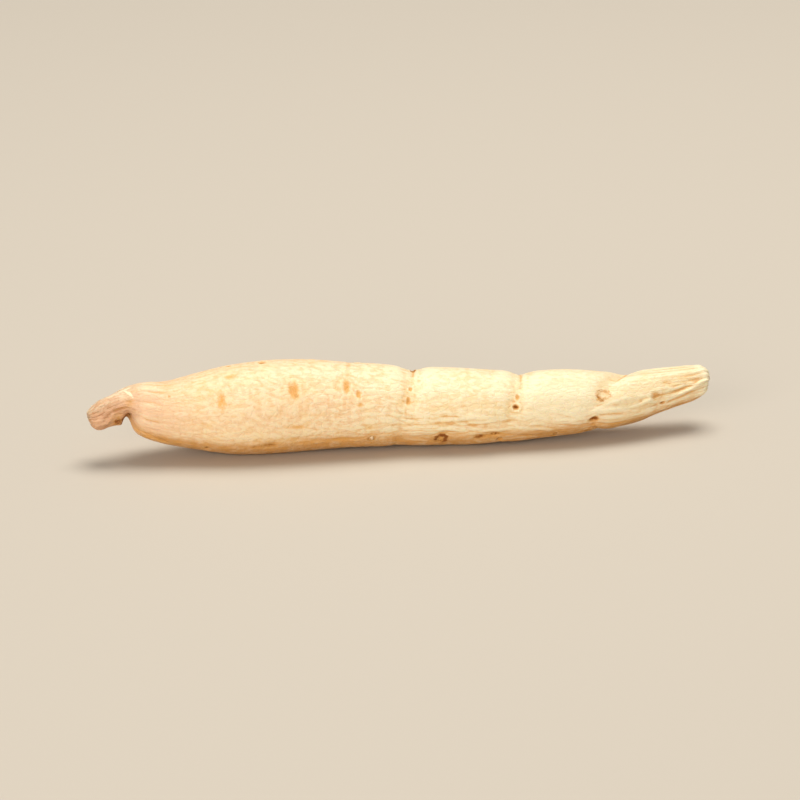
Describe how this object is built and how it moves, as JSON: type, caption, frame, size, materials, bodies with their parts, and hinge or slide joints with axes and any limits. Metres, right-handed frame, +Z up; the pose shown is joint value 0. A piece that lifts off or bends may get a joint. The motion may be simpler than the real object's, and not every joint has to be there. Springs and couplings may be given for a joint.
{
  "type": "pseudostellaria root",
  "caption": "Dried pseudostellaria root in one piece: a slightly bowed spindle with a bent stem stub at its crown, growth rings, drying furrows, rootlet pits and a broken tail.",
  "frame": {"origin": "on the resting surface, below the middle of the root's bounding box", "axes": "+X along the root from the crown to the tail, +Z up, +Y from the side that the picture shows towards the back"},
  "size_m": [0.047, 0.007, 0.0069],
  "materials": {
    "root_skin": "dry matt to satin skin, cream with orange-brown scars"
  },
  "bodies": {
    "root": {"pseudostellaria_root": "root_skin"}
  },
  "joints": []
}
